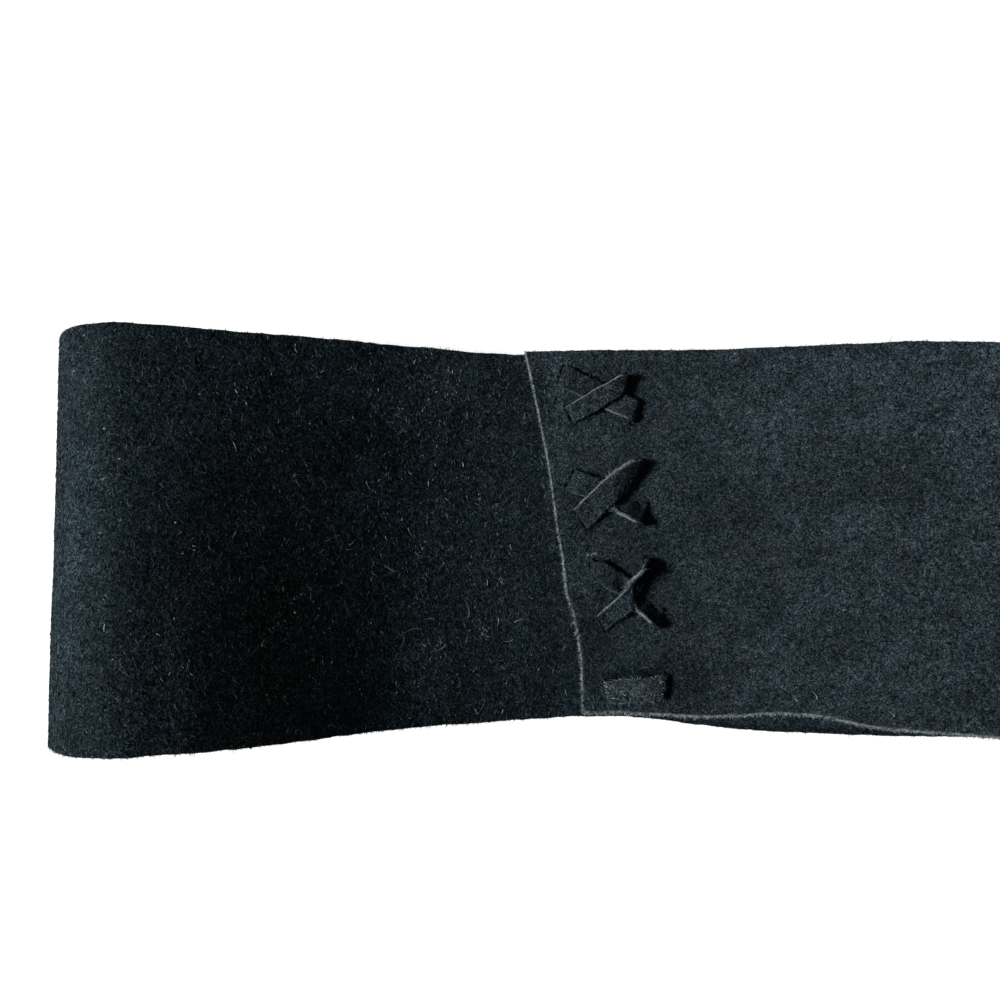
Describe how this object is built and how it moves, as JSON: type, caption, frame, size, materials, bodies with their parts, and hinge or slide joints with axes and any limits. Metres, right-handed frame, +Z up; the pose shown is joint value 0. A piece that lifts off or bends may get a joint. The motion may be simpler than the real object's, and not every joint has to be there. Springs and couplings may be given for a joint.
{
  "type": "wide laced suede belt",
  "caption": "Wide soft suede belt, closed in a hoop and laid down, its slanting overlapped end held by crossed and straight stitches of flat suede lace.",
  "frame": {"origin": "middle of the underside that lies on the table, below the middle of the belt's width", "axes": "+X along the belt from the high fold to the low fold, +Y across the belt from the edge where the under layer shows to the other edge, +Z up from the table"},
  "size_m": [0.3515, 0.1039, 0.0588],
  "materials": {
    "suede": "matt bluish black suede with a short, hairy nap",
    "lace_suede": "matt bluish black suede lace with pale, fuzzy cut edges"
  },
  "bodies": {
    "root": {"strap": "suede", "lace": "lace_suede"}
  },
  "joints": []
}
